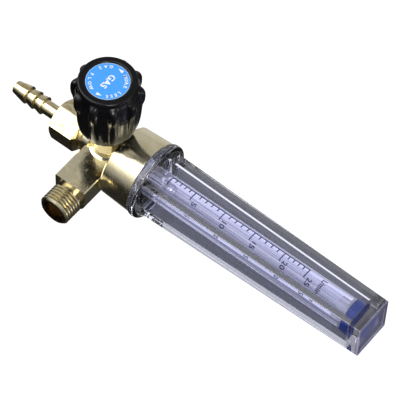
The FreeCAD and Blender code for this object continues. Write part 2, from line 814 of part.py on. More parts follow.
def ball_stop():
    """Hollow plug in the tube's top that keeps the ball in."""
    hole = mm.stop_hole_d / 2
    plug_low = tube_top - mm.stop_plug_length
    slope = mm.tube_bore_spread / 2 / (tube_top - tube_bore_start)
    plug = tube_bore_high_d / 2 - mm.running_gap
    stop = turned("ball_stop", [
        (hole, plug_low), (plug - slope * mm.stop_plug_length, plug_low), (plug, tube_top),
        (mm.tube_d / 2, tube_top), (mm.tube_d / 2, tube_top + mm.stop_flange_thickness),
        (hole, tube_top + mm.stop_flange_thickness),
    ])
    return on_tube_axis(stop)


def tube_seal_upper():
    """Soft pad squeezed between the ball stop and the closed end of the cover."""
    start = tube_top + mm.stop_flange_thickness
    diameter = cavity_end_side - 2 * mm.pad_side_gap
    pad = ring("tube_seal_upper", diameter, mm.stop_hole_d, mm.pad_thickness)
    return on_tube_axis(pad, start)


def float_ball():
    ball = doc.addObject("Part::Sphere", "float_ball")
    bind(ball, "Radius", mm.ball_d / 2)
    return on_tube_axis(ball, ball_rest)


# ---------------------------------------------------------------- build and export

SUB_PARTS = [
    body(), inlet_filter(), hose_barb(), barb_washer(),
    gland_nut(), gland_washer(), valve_spindle(), spindle_o_ring(),
    knob(), knob_insert(), screw_washer(), knob_screw(), knob_label(),
    sight_cover(), cover_o_ring(),
    tube_seat(), tube_seal_lower(), flow_tube(), ball_stop(), tube_seal_upper(), float_ball(),
]
for piece in SUB_PARTS:
    piece.Label = piece.Name
doc.recompute()

for thing in doc.Objects:
    if {"Invalid", "Error"} & set(thing.State):
        raise RuntimeError(f"{thing.Name} did not build: {thing.State}")
os.makedirs("parts", exist_ok=True)
for piece in SUB_PARTS:
    shape = piece.Shape
    if shape.isNull() or not shape.isValid():
        raise RuntimeError(f"{piece.Label} has no valid shape")
    print(f"{piece.Label}: {len(shape.Solids)} solid, {shape.Volume:.1f} mm3")
for piece in SUB_PARTS:
    piece.Shape.exportStep(f"parts/{piece.Label}.step")
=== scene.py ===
import math

import bpy
from mathutils import Matrix, Vector


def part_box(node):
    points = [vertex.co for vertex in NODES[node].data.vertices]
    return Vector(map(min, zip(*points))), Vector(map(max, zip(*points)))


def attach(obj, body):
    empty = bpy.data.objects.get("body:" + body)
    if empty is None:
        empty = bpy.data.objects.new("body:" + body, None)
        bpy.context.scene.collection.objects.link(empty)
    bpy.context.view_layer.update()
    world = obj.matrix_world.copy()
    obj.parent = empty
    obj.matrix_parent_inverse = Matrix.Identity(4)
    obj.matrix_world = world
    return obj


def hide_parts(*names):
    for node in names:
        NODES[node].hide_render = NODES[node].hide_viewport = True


# Looks for the shielding gas flow meter. All lengths are in metres, in the part's own frame:
# +X out of the inlet, -Y to the front where the knob is, +Z up along the sight cover.

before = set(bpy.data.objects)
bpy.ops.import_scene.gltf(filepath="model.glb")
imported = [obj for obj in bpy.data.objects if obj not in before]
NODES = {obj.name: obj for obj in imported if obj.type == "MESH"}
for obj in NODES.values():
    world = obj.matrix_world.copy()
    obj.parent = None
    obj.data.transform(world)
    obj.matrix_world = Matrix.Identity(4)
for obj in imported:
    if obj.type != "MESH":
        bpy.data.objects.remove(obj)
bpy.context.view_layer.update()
MM = 0.001


# ------------------------------------------------------------------ places taken from the frame


def middle(node):
    low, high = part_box(node)
    return (low + high) / 2


VALVE_X = middle("knob_insert").x
VALVE_Z = middle("knob_insert").z
TUBE_X = middle("flow_tube").x
TUBE_Y = middle("flow_tube").y
TUBE_RADIUS = (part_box("flow_tube")[1].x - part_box("flow_tube")[0].x) / 2
KNOB_BOTTOM = -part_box("knob")[1].y
KNOB_TOP = -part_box("knob")[0].y
LABEL_FACE = -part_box("knob_label")[0].y
LABEL_RADIUS = (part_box("knob_label")[1].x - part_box("knob_label")[0].x) / 2
COVER_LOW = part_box("sight_cover")[0].z
COVER_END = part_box("sight_cover")[1].z
FLANGE_RADIUS = (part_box("sight_cover")[1].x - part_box("sight_cover")[0].x) / 2
CUP_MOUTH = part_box("body")[1].z

# solid end of the sight cover and how deep its inset face lies, in mm
END_WALL = 6.0
INSET_DEPTH = 0.4


# ------------------------------------------------------------------ modelling helpers


def put_down():
    """Leaves edit mode and clears the selection."""
    if bpy.context.object and bpy.context.object.mode != "OBJECT":
        bpy.ops.object.mode_set(mode="OBJECT")
    bpy.ops.object.select_all(action="DESELECT")


def pick_up(piece):
    put_down()
    piece.select_set(True)
    bpy.context.view_layer.objects.active = piece


def edit(piece):
    pick_up(piece)
    bpy.ops.object.mode_set(mode="EDIT")
    bpy.ops.mesh.select_mode(type="VERT")
    bpy.ops.mesh.select_all(action="SELECT")


def select_points(piece, wanted):
    """Selects the vertices that the test picks, with the edges and faces between them."""
    edit(piece)
    bpy.ops.mesh.select_all(action="DESELECT")
    bpy.ops.object.mode_set(mode="OBJECT")
    for vertex in piece.data.vertices:
        vertex.select = wanted(vertex.co)
    bpy.ops.object.mode_set(mode="EDIT")


def bake_place(piece):
    """Moves the object's place into its mesh, so the object itself stays at the origin."""
    pick_up(piece)
    bpy.ops.object.transform_apply(location=True, rotation=True, scale=True)


def facing_out(piece):
    edit(piece)
    bpy.ops.mesh.remove_doubles(threshold=0.002 * MM)
    bpy.ops.mesh.normals_make_consistent(inside=False)
    put_down()


def smooth(piece, degrees):
    pick_up(piece)
    bpy.ops.object.shade_smooth_by_angle(angle=math.radians(degrees))
    put_down()


def apply_modifier(piece, kind, name, **settings):
    pick_up(piece)
    modifier = piece.modifiers.new(name, kind)
    for key, value in settings.items():
        setattr(modifier, key, value)
    bpy.ops.object.modifier_apply(modifier=modifier.name)
    put_down()


def cut_with(piece, tool, operation="DIFFERENCE"):
    apply_modifier(piece, "BOOLEAN", "cut", operation=operation, solver="EXACT", object=tool)
    bpy.data.objects.remove(tool)


def turned(name, rings, segments):
    """A piece turned about +Z: rings of (radius, height) in mm, closed flat at each end."""
    put_down()
    radius, height = rings[0]
    bpy.ops.mesh.primitive_circle_add(
        vertices=segments, radius=radius * MM, fill_type="NGON", location=(0, 0, height * MM)
    )
    piece = bpy.context.object
    piece.name = name
    bake_place(piece)
    edit(piece)
    for next_radius, next_height in rings[1:]:
        rise = (next_height - height) * MM
        bpy.ops.mesh.extrude_region_move(TRANSFORM_OT_translate={"value": (0, 0, rise)})
        ratio = next_radius / radius
        centre = (0, 0, next_height * MM)
        bpy.ops.transform.resize(value=(ratio, ratio, 1), center_override=centre)
        radius, height = next_radius, next_height
    facing_out(piece)
    return piece


def arc(centre_radius, centre_height, radius, start, end, steps):
    """Points of a quarter round, as (radius, height) in mm, angles in degrees from outwards."""
    points = []
    for step in range(steps + 1):
        angle = math.radians(start + (end - start) * step / steps)
        across = centre_radius + radius * math.cos(angle)
        points.append((across, centre_height + radius * math.sin(angle)))
    return points


def onto_valve_axis(piece):
    """Turns a piece made along +Z to stand on the valve axis, its +Z to the front."""
    piece.rotation_euler = (math.pi / 2, 0, 0)
    piece.location = (VALVE_X, 0, VALVE_Z)
    bake_place(piece)


def onto_tube_axis(piece):
    piece.location = (TUBE_X, TUBE_Y, 0)
    bake_place(piece)


def square_bar(name, low_side, high_side, low, high, front_corner, back_corner, steps=3):
    """A square bar along +Z, in mm: edges rounded, then drafted from low_side to high_side."""
    put_down()
    bpy.ops.mesh.primitive_cube_add(size=1, location=(0, 0, (low + high) / 2 * MM))
    piece = bpy.context.object
    piece.name = name
    piece.scale = (low_side * MM, low_side * MM, (high - low) * MM)
    bake_place(piece)
    for side, corner in ((-1, front_corner), (1, back_corner)):
        edit(piece)
        bpy.ops.mesh.select_mode(type="EDGE")
        bpy.ops.mesh.select_all(action="DESELECT")
        bpy.ops.object.mode_set(mode="OBJECT")
        for edge in piece.data.edges:
            first, second = (piece.data.vertices[number].co for number in edge.vertices)
            upright = abs(first.z - second.z) > (high - low) / 2 * MM
            outer = side * first.y > (low_side / 2 - 0.01) * MM
            edge.select = upright and outer
        bpy.ops.object.mode_set(mode="EDIT")
        bpy.ops.mesh.bevel(offset=corner * MM, segments=steps, affect="EDGES")
    select_points(piece, lambda co: co.z > (low + high) / 2 * MM)
    ratio = high_side / low_side
    bpy.ops.transform.resize(value=(ratio, ratio, 1), center_override=(0, 0, high * MM))
    facing_out(piece)
    return piece


BOLDER = 0.024  # how far the letters are thickened, as a share of their size


def lettering(name, text, size, place, turn):
    """Flat text in the XY plane, centred on place, size in mm, turned about +Z."""
    put_down()
    bpy.ops.object.text_add()
    piece = bpy.context.object
    piece.name = name
    piece.data.body = text
    piece.data.size = size * MM
    piece.data.align_x = "CENTER"
    piece.data.align_y = "CENTER"
    piece.data.resolution_u = 4
    piece.data.offset = BOLDER * size * MM
    piece.rotation_euler = (0, 0, turn)
    piece.location = (place[0] * MM, place[1] * MM, 0)
    bpy.ops.object.convert(target="MESH")
    piece = bpy.context.object
    bake_place(piece)
    return piece


def join(name, pieces):
    put_down()
    for piece in pieces:
        piece.select_set(True)
    bpy.context.view_layer.objects.active = pieces[0]
    bpy.ops.object.join()
    piece = bpy.context.object
    piece.name = name
    piece.data.name = name
    put_down()
    return piece


# ------------------------------------------------------------------ material helpers


def paint(code):
    """A colour written as sRGB hex, made linear."""
    parts = [int(code[start:start + 2], 16) / 255 for start in (0, 2, 4)]
    linear = [p / 12.92 if p <= 0.04045 else ((p + 0.055) / 1.055) ** 2.4 for p in parts]
    return (*linear, 1.0)


def add(material, kind, settings=None, **links):
    """Adds a node. Links give an input by name or number as another node's output or a value."""
    tree = material.node_tree
    node = tree.nodes.new(kind)
    for key, value in (settings or {}).items():
        setattr(node, key, value)
    for key, value in links.items():
        socket = node.inputs[int(key[2:])] if key.startswith("in") else node.inputs[words(key)]
        if isinstance(value, bpy.types.NodeSocket):
            tree.links.new(value, socket)
        else:
            socket.default_value = value
    return node


def words(key):
    return key.replace("_", " ")


def new_material(name, **inputs):
    """A material with a Principled surface, its sockets set by name, and Object coordinates."""
    material = bpy.data.materials.new(name)
    material.use_nodes = True
    material.node_tree.nodes.clear()
    surface = add(material, "ShaderNodeBsdfPrincipled")
    for key, value in inputs.items():
        surface.inputs[words(key)].default_value = value
    output = add(material, "ShaderNodeOutputMaterial")
    material.node_tree.links.new(surface.outputs[0], output.inputs["Surface"])
    place = add(material, "ShaderNodeTexCoord").outputs["Object"]
    return material, surface, place


def connect(material, output, surface, socket):
    material.node_tree.links.new(output, surface.inputs[socket])


def noise(material, place, size_mm, detail, roughness=0.5):
    """Noise whose blotches are about size_mm across, as a 0-1 value."""
    node = add(
        material, "ShaderNodeTexNoise", Vector=place,
        Scale=1 / (size_mm * MM), Detail=detail, Roughness=roughness,
    )
    return node.outputs["Fac"]


def ramp(material, value, stops):
    """A colour ramp: stops of (position, linear colour)."""
    node = add(material, "ShaderNodeValToRGB", Fac=value)
    elements = node.color_ramp.elements
    while len(elements) < len(stops):
        elements.new(0.5)
    for element, (position, colour) in zip(elements, stops):
        element.position = position
        element.color = colour
    return node.outputs["Color"]


def span(material, value, low_in, high_in, low_out, high_out):
    node = add(
        material, "ShaderNodeMapRange", Value=value,
        From_Min=low_in, From_Max=high_in, To_Min=low_out, To_Max=high_out,
    )
    return node.outputs["Result"]


def math_node(material, operation, first, second=0.0):
    node = add(material, "ShaderNodeMath", {"operation": operation}, in0=first, in1=second)
    return node.outputs[0]


def mix_colours(material, factor, first, second):
    node = add(material, "ShaderNodeMix", {"data_type": "RGBA"})
    tree = material.node_tree
    sockets = (node.inputs[0], node.inputs[6], node.inputs[7])
    for socket, value in zip(sockets, (factor, first, second)):
        if isinstance(value, bpy.types.NodeSocket):
            tree.links.new(value, socket)
        else:
            socket.default_value = value
    return node.outputs[2]


def bump(material, height, depth_mm, normal=None):
    node = add(material, "ShaderNodeBump", Height=height, Distance=depth_mm * MM, Strength=1.0)
    if normal is not None:
        material.node_tree.links.new(normal, node.inputs["Normal"])
    return node.outputs["Normal"]


def stretched(material, place, across, up):
    """Coordinates squeezed so that noise becomes streaks along +Z."""
    return add(
        material, "ShaderNodeMapping", Vector=place, Scale=(across, across, up)
    ).outputs["Vector"]


# ------------------------------------------------------------------ brass


# the thread's roots and the radius beyond which its flanks get no painted shade, and where the arm
# ends, in mm
THREAD_ROOT = 5.65
UNSHADED_FLANK_RADIUS = 6.25
ARM_END = -9.9
ARM_END_BLEND = 0.3


def plated_brass():
    """Bright dipped brass casting, tumbled: soft blotches, fine pits, and painted shade in the
    thread roots.
    """
    material, surface, place = new_material(
        "bright_dipped_brass", Metallic=1.0, Specular_IOR_Level=0.5
    )
    blotch = noise(material, place, 9.0, 3.0)
    grain = noise(material, place, 0.45, 4.0, 0.65)
    golds = [(0.30, paint("e3d6ae")), (0.55, paint("ede4c4")), (0.75, paint("dfd0a2"))]
    colour = ramp(material, blotch, golds)
    speck = add(material, "ShaderNodeTexVoronoi", Vector=place, Scale=1 / (0.55 * MM))
    pits = span(material, speck.outputs["Distance"], 0.05, 0.20, 1.0, 0.0)
    few = span(material, noise(material, place, 3.0, 2.0), 0.50, 0.62, 0.0, 1.0)
    pits = math_node(material, "MULTIPLY", pits, few)
    stain = math_node(material, "MULTIPLY", pits, 0.55)
    colour = mix_colours(material, stain, colour, paint("5c4a26"))
    # painted shade in the thread roots: radius about the inlet axis, only beyond the arm's end
    axes = add(material, "ShaderNodeSeparateXYZ", Vector=place)
    across = math_node(material, "POWER", axes.outputs["Y"], 2.0)
    up = math_node(material, "POWER", axes.outputs["Z"], 2.0)
    radius = math_node(material, "SQRT", math_node(material, "ADD", across, up))
    root_shade = span(material, radius, THREAD_ROOT * MM, UNSHADED_FLANK_RADIUS * MM, 0.80, 0.0)
    thread_start = (ARM_END + ARM_END_BLEND) * MM
    beyond = span(material, axes.outputs["X"], ARM_END * MM, thread_start, 0.0, 1.0)
    painted_root_shade = math_node(material, "MULTIPLY", root_shade, beyond)
    colour = mix_colours(material, painted_root_shade, colour, paint("4a3a1e"))
    connect(material, colour, surface, "Base Color")
    wear = span(material, grain, 0.25, 0.75, 0.09, 0.20)
    connect(material, wear, surface, "Roughness")
    skin = bump(material, noise(material, place, 1.5, 3.0, 0.6), 0.040)
    skin = bump(material, grain, 0.014, skin)
    skin = bump(material, math_node(material, "MULTIPLY", pits, -1.0), 0.05, skin)
    connect(material, skin, surface, "Normal")
    return material


def turned_metal(name, light, dark, cell, shine=0.18):
    """Turned or ground metal: a fine uneven skin, with a little tarnish."""
    material, surface, place = new_material(name, Metallic=1.0)
    blotch = noise(material, place, cell, 3.0)
    colour = ramp(material, blotch, [(0.3, paint(dark)), (0.62, paint(light))])
    connect(material, colour, surface, "Base Color")
    fine = noise(material, place, 0.35, 4.0, 0.6)
    gloss = span(material, fine, 0.2, 0.8, shine * 0.6, shine * 1.4)
    connect(material, gloss, surface, "Roughness")
    connect(material, bump(material, fine, 0.008), surface, "Normal")
    return material


def sintered_bronze():
    """Grains of bronze pressed and sintered into a filter disc; the grains are paled to lift the
    bore's shade, and the gaps between them carry painted shade.
    """
    material, surface, place = new_material("sintered_bronze", Metallic=0.15)
    cells = add(material, "ShaderNodeTexVoronoi", Vector=place, Scale=1 / (0.45 * MM))
    lit_grains_and_shaded_gaps = [(0.1, paint("f0bd80")), (0.55, paint("a06a36"))]
    colour = ramp(material, cells.outputs["Distance"], lit_grains_and_shaded_gaps)
    connect(material, colour, surface, "Base Color")
    gloss = span(material, cells.outputs["Distance"], 0.0, 0.6, 0.35, 0.8)
    connect(material, gloss, surface, "Roughness")
    height = math_node(material, "MULTIPLY", cells.outputs["Distance"], -1.0)
    connect(material, bump(material, height, 0.2), surface, "Normal")
    return material


# ------------------------------------------------------------------ plastics, rubber, steel


def moulded(name, light, dark, shine, cell, depth, **inputs):
    """A moulded or pressed material: slight colour drift, uneven gloss and a fine skin."""
    material, surface, place = new_material(name, **inputs)
    drift = noise(material, place, cell, 3.0)
    colour = ramp(material, drift, [(0.3, paint(dark)), (0.7, paint(light))])
    connect(material, colour, surface, "Base Color")
    skin = noise(material, place, cell / 5, 4.0, 0.6)
    gloss = span(material, skin, 0.2, 0.8, shine * 0.75, shine * 1.35)
    connect(material, gloss, surface, "Roughness")
    connect(material, bump(material, skin, depth), surface, "Normal")
    return material


def clear_plastic(name, light, dark, streak_mm, shine, ior, painted_glow_strength):
    """Clear plastic with flow lines along its length, which carry a faint painted glow."""
    material, surface, place = new_material(name, Transmission_Weight=1.0, IOR=ior)
    lines = stretched(material, place, 1.0, 0.0)
    drift = noise(material, lines, streak_mm, 2.0)
    tint = ramp(material, drift, [(0.38, paint(dark)), (0.62, paint(light))])
    gloss = span(material, drift, 0.3, 0.7, shine, shine * 2)
    connect(material, bump(material, drift, 0.002), surface, "Normal")
    # painted glints: the flow lines glow in these colours, as strong as the last argument
    painted_glint_stops = [(0.38, paint("34354a")), (0.50, paint("9c9db4")), (0.60, paint("efeffb"))]
    painted_streak_glow = ramp(material, drift, painted_glint_stops)
    # the cover's solid end is greyer, and its inset face is finely frosted and given a faint
    # painted glow
    axes = add(material, "ShaderNodeSeparateXYZ", Vector=place)
    solid_start = COVER_END - (END_WALL - 2 * INSET_DEPTH) * MM
    frosted_start = COVER_END - 2 * INSET_DEPTH * MM
    solid_end = math_node(material, "GREATER_THAN", axes.outputs["Z"], solid_start)
    frosted = math_node(material, "GREATER_THAN", axes.outputs["Z"], frosted_start)
    tint = mix_colours(material, solid_end, tint, paint("a4a2b2"))
    connect(material, mix_colours(material, frosted, tint, paint("a8a6c4")), surface, "Base Color")
    frost = math_node(material, "MULTIPLY", frosted, 0.3)
    connect(material, math_node(material, "ADD", gloss, frost), surface, "Roughness")
    # painted light: the frosted face glows in a pale violet
    glow = mix_colours(material, frosted, painted_streak_glow, paint("a2a2c4"))
    connect(material, glow, surface, "Emission Color")
    strength = math_node(material, "MULTIPLY", frosted, 0.16)
    strength = math_node(material, "ADD", strength, painted_glow_strength)
    connect(material, strength, surface, "Emission Strength")
    return material


LABEL_BORDER = 0.14  # width of the label's border line, in mm


def label_film():
    """Blue printed film with a thin white border line."""
    material, surface, place = new_material("blue_label_film", Coat_Weight=0.3, Coat_Roughness=0.1)
    axes = add(material, "ShaderNodeSeparateXYZ", Vector=place)
    off_x = math_node(material, "SUBTRACT", axes.outputs["X"], VALVE_X)
    across = math_node(material, "POWER", off_x, 2.0)
    off_z = math_node(material, "SUBTRACT", axes.outputs["Z"], VALVE_Z)
    up = math_node(material, "POWER", off_z, 2.0)
    radius = math_node(material, "SQRT", math_node(material, "ADD", across, up))
    mottle = noise(material, place, 0.5, 3.0)
    ink = ramp(material, mottle, [(0.3, paint("2b90ee")), (0.7, paint("3a9df6"))])
    border = math_node(material, "GREATER_THAN", radius, LABEL_RADIUS - LABEL_BORDER * MM)
    connect(material, mix_colours(material, border, ink, paint("bcd6f2")), surface, "Base Color")
    grain = noise(material, place, 0.3, 3.0)
    connect(material, span(material, grain, 0.2, 0.8, 0.28, 0.42), surface, "Roughness")
    connect(material, bump(material, grain, 0.004), surface, "Normal")
    return material


MATERIALS = {
    # bright dipped casting brass, and brass turned from bar for what screws into it
    "brass": plated_brass(),
    # the gland's colours are paled towards white as a painted highlight, on a satin finish
    "gland": turned_metal("satin_brass_painted_bright", "f8f0d4", "f0e4bc", 2.5, 0.36),
    "barb": turned_metal("barb_turned_brass", "e2d6b0", "b8a676", 1.6, 0.12),
    "turned": turned_metal("turned_brass", "e0c888", "bfa05a", 2.0),
    "washer": turned_metal("stamped_brass_washer", "ecd9a4", "cdb274", 3.0),
    # sintered bronze filter, steel ball, zinc plated screw and washer
    "bronze": sintered_bronze(),
    "steel": turned_metal("ground_steel_ball", "d8d8dc", "c2c2c8", 1.0),
    "zinc": turned_metal("zinc_plated_steel", "c9c9c4", "a5a5a2", 1.5),
    # pressed fibre packing, nitrile O-rings, silicone and acetal at the tube's end
    "fibre": moulded("pressed_fibre", "7a2018", "541410", 0.7, 1.5, 0.03),
    "nitrile": moulded("nitrile_rubber", "232323", "151515", 0.55, 1.2, 0.02),
    "silicone": moulded(
        "blue_silicone", "2f66dc", "1f4ab8", 0.30, 1.5, 0.02, Transmission_Weight=0.35
    ),
    "acetal": moulded("white_acetal", "eeeeec", "e0e0dd", 0.35, 1.5, 0.01),
    # moulded ABS knob, its printed film label, and the inks
    "abs": moulded(
        "glossy_black_abs", "0c0c0f", "070709", 0.13, 4.0, 0.006, Specular_IOR_Level=0.22
    ),
    "label": label_film(),
    "white_ink": moulded("white_label_ink", "f4f7fb", "e6ebf2", 0.45, 0.6, 0.003),
    "navy_ink": moulded("navy_scale_ink", "1a2282", "121860", 0.45, 0.6, 0.003),
    # clear polycarbonate cover, clear acrylic tube; the last number is the strength of their
    # painted glow
    "cover": clear_plastic("clear_cover_polycarbonate", "ebecf8", "d6d8ea", 1.0, 0.012, 1.54, 0.0),
    "tube": clear_plastic("clear_tube_acrylic", "fbfbff", "dcddee", 0.55, 0.01, 1.49, 0.18),
}


def finish_with(piece, key):
    piece.data.materials.clear()
    piece.data.materials.append(MATERIALS[key])


CAD_FINISHES = {
    "body": "brass", "hose_barb": "barb", "gland_nut": "gland", "barb_washer": "washer",
    "tube_seat": "turned", "knob_insert": "turned", "valve_spindle": "turned",
    "inlet_filter": "bronze", "gland_washer": "fibre", "spindle_o_ring": "nitrile",
    "cover_o_ring": "nitrile", "tube_seal_lower": "nitrile", "screw_washer": "zinc",
    "knob_screw": "zinc", "knob_label": "label", "flow_tube": "tube", "ball_stop": "acetal",
    "tube_seal_upper": "silicone", "float_ball": "steel",
}
for node, key in CAD_FINISHES.items():
    finish_with(NODES[node], key)


# ------------------------------------------------------------------ knob

RIB_COUNT = 10
RIB_TURN = 12.7  # degrees from +X towards +Z to the first rib
RING_POINTS = 120
# rings of (radius, height) in mm: the hollow underside and the rounded foot
KNOB_FOOT = [(6.4, 9.0), (6.9, 0.8), (7.3, 0.15), (7.7, 0.0), (8.3, 0.0), (8.7, 0.25)]
RIM_RADIUS = 11.25
RIM_ROUND = 0.9
# where the rim's wall starts and where it is upright, in mm above the knob's bottom
RIM_WALL = (26.75, 27.0)
# between the ribs: height above the knob's bottom and radius, both in mm
KNOB_BARREL = [
    (0.9, 10.2), (3.4, 11.05), (7.6, 11.7), (12.4, 12.0), (17.4, 12.1), (18.9, 12.1),
    (21.0, 12.1), (23.0, 12.1), (24.4, 12.0), (25.5, 11.75), (26.3, 11.35),
]
# how far a rib stands proud at the same heights: low along its length, with a knuckle at the top
KNOB_RIBS = [0.10, 0.30, 0.50, 0.65, 0.75, 1.55, 1.80, 1.80, 1.72, 1.35, 0.50]
# share of the rib's height, by degrees from its middle
RIB_SHAPE = {0: 1.0, 3: 1.0, 6: 0.70, 9: 0.0}


def knob():
    """Fluted knob: a barrel with ten rounded ribs, a raised rim and a recess for the label."""
    top = (KNOB_TOP - KNOB_BOTTOM) / MM
    recess = (KNOB_TOP - LABEL_FACE) / MM
    label = LABEL_RADIUS / MM
    rings = list(KNOB_FOOT)
    rings += [(radius, height) for height, radius in KNOB_BARREL]
    rings += [(RIM_RADIUS, height) for height in RIM_WALL]
    rings += arc(RIM_RADIUS - RIM_ROUND, top - RIM_ROUND, RIM_ROUND, 0, 90, 4)
    rings += [(label + 0.75, top), (label + 0.45, top - 0.15), (label + 0.3, top - 0.4)]
    rings += [(label + 0.28, top - recess - 0.25)]
    piece = turned("fluted_knob", rings, RING_POINTS)
    step = 360 / RIB_COUNT
    for (height, radius), proud in zip(KNOB_BARREL, KNOB_RIBS):
        for offset, share in RIB_SHAPE.items():
            if proud * share == 0:
                continue

            def on_rib(co):
                if abs(co.z - height * MM) > 0.02 * MM:
                    return False
                if co.xy.length < (radius - 0.05) * MM:
                    return False
                angle = math.degrees(math.atan2(co.y, co.x)) % step
                return abs(min(angle, step - angle) - offset) < 1.0

            select_points(piece, on_rib)
            ratio = (radius + proud * share) / radius
            centre = (0, 0, height * MM)
            bpy.ops.transform.resize(value=(ratio, ratio, 1), center_override=centre)
    put_down()
    piece.rotation_euler = (0, 0, math.radians(RIB_TURN))
    bake_place(piece)
    piece.location = (0, 0, KNOB_BOTTOM)
    bake_place(piece)
    onto_valve_axis(piece)
    apply_modifier(piece, "SUBSURF", "rounding", levels=1, render_levels=1)
    smooth(piece, 45)
    finish_with(piece, "abs")
    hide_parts("knob")
    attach(piece, "knob")


PRINT_THICKNESS = 0.03
RING_TEXT_RADIUS = 6.7
RING_LETTER = 1.85
MIDDLE_LETTER = 3.6


def around(text, start, step, outward):
    """Single letters around the label: angles in degrees from +X towards +Z."""
    letters = []
    for number, letter in enumerate(text):
        angle = math.radians(start + step * number)
        place = (RING_TEXT_RADIUS * math.cos(angle), RING_TEXT_RADIUS * math.sin(angle))
        turn = angle - math.pi / 2 if outward else angle + math.pi / 2
        if letter != " ":
            letters.append(lettering(f"label_{letter}", letter, RING_LETTER, place, turn))
    return letters


def arrow(angle_degrees):
    """A small curved arrow head on the label's ring of print."""
    put_down()
    bpy.ops.mesh.primitive_circle_add(vertices=3, radius=1.0 * MM, fill_type="NGON")
    piece = bpy.context.object
    piece.scale = (0.75, 1.5, 1)
    angle = math.radians(angle_degrees)
    piece.rotation_euler = (0, 0, angle)
    place = RING_TEXT_RADIUS * MM
    piece.location = (place * math.cos(angle), place * math.sin(angle), 0)
    bake_place(piece)
    return piece


def label_print():
    """White ring text, arrows and middle word on the knob's label."""
    parts = around("GAS FLOW", -152, 18, False)
    parts += around("MORE", 148, -13.5, True) + around("LESS", 78, -13.5, True)
    parts += [arrow(8), arrow(172)]
    parts += [lettering("label_middle", "GAS", MIDDLE_LETTER, (0, 0), 0)]
    piece = join("label_print", parts)
    apply_modifier(piece, "SOLIDIFY", "ink", thickness=PRINT_THICKNESS * MM, offset=1.0)
    piece.location = (0, 0, LABEL_FACE)
    bake_place(piece)
    onto_valve_axis(piece)
    facing_out(piece)
    finish_with(piece, "white_ink")
    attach(piece, "knob")


# ------------------------------------------------------------------ sight cover

# sizes in mm
FLANGE_THICKNESS = 3.4
FLANGE_ROUND = 1.2
LIP_WIDTH = 0.5
LIP_DEPTH = 0.5
BAR_LOW_SIDE = 19.7
BAR_HIGH_SIDE = 16.9
BAR_ROUND = 0.4  # of its long edges
WALL = 2.6
SPIGOT_RADIUS = 12.5
SPIGOT_WALL = 2.2
FRONT_CHAMFER = 1.2  # of the hollow's long edges
BACK_CHAMFER = 0.6
FRAME_WIDTH = 1.6  # left round the inset face


def sight_cover():
    """Clear cover: rounded flange with a lip, square drafted bar, hollow inside, inset end."""
    low = COVER_LOW / MM
    seat = CUP_MOUTH / MM
    top = seat + FLANGE_THICKNESS
    end = COVER_END / MM
    round_centre = FLANGE_RADIUS / MM - FLANGE_ROUND
    rings = [(SPIGOT_RADIUS, low), (SPIGOT_RADIUS, seat), (round_centre, seat)]
    rings += arc(round_centre, seat + FLANGE_ROUND, FLANGE_ROUND, -90, 0, 5)[1:]
    rings += arc(round_centre, top - FLANGE_ROUND, FLANGE_ROUND, 0, 90, 5)
    lip = round_centre - LIP_WIDTH
    rings += [(lip, top), (lip - 0.4, top - LIP_DEPTH + 0.05), (1.0, top - LIP_DEPTH)]
    piece = turned("sight_cover", rings, 128)
    draft = (BAR_LOW_SIDE - BAR_HIGH_SIDE) / (end - top)
    bar = square_bar(
        "cover_bar", BAR_LOW_SIDE + draft * 2, BAR_HIGH_SIDE, top - 2, end, BAR_ROUND, BAR_ROUND
    )
    cut_with(piece, bar, "UNION")
    inner_end = end - END_WALL
    start = seat - 1
    low_side = BAR_LOW_SIDE - 2 * WALL + draft * (top - start)
    high_side = BAR_HIGH_SIDE - 2 * WALL + draft * END_WALL
    hollow = square_bar(
        "cover_cavity", low_side, high_side, start, inner_end, FRONT_CHAMFER, BACK_CHAMFER, 1
    )
    cut_with(piece, hollow)
    well_radius = SPIGOT_RADIUS - SPIGOT_WALL
    cut_with(piece, turned("cover_well", [(well_radius, low - 1), (well_radius, seat)], 128))
    inset = BAR_HIGH_SIDE - 2 * FRAME_WIDTH
    pocket = square_bar("cover_inset", inset, inset + 0.3, end - INSET_DEPTH, end + 1, 0.3, 0.3)
    cut_with(piece, pocket)
    onto_tube_axis(piece)
    apply_modifier(
        piece, "BEVEL", "soft_edges", width=0.22 * MM, segments=2,
        limit_method="ANGLE", angle_limit=math.radians(40),
    )
    facing_out(piece)
    smooth(piece, 35)
    apply_modifier(
        piece, "WEIGHTED_NORMAL", "true_flats", mode="FACE_AREA", weight=100, keep_sharp=True
    )
    finish_with(piece, "cover")
    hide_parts("sight_cover")
    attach(piece, "main")


# ------------------------------------------------------------------ printed scale

# height of each numbered line, in mm
SCALE_LINES = {0: 29.3, 5: 40.1, 10: 53.8, 15: 67.7, 20: 81.6, 25: 92.8}
SPINE_X = -2.7
LONG_TICK = 4.4
SHORT_TICK = 2.0
LINE_WIDTH = 0.46
NUMBER_SIZE = 2.9
NUMBER_GAP = 0.5
NUMBER_RISE = 2.5
UNIT_SIZE = 2.8
UNIT_ACROSS = 0.9
UNIT_RISE = 7.4
BEND_STEP = 0.5  # width of the strips that the print bends in


def stroke(across, up, width, height):
    """A printed line in the XY plane, its lower left corner at (across, up), in mm."""
    put_down()
    bpy.ops.mesh.primitive_plane_add(size=1)
    piece = bpy.context.object
    piece.scale = (width * MM, height * MM, 1)
    piece.location = ((across + width / 2) * MM, (up + height / 2) * MM, 0)
    bake_place(piece)
    return piece


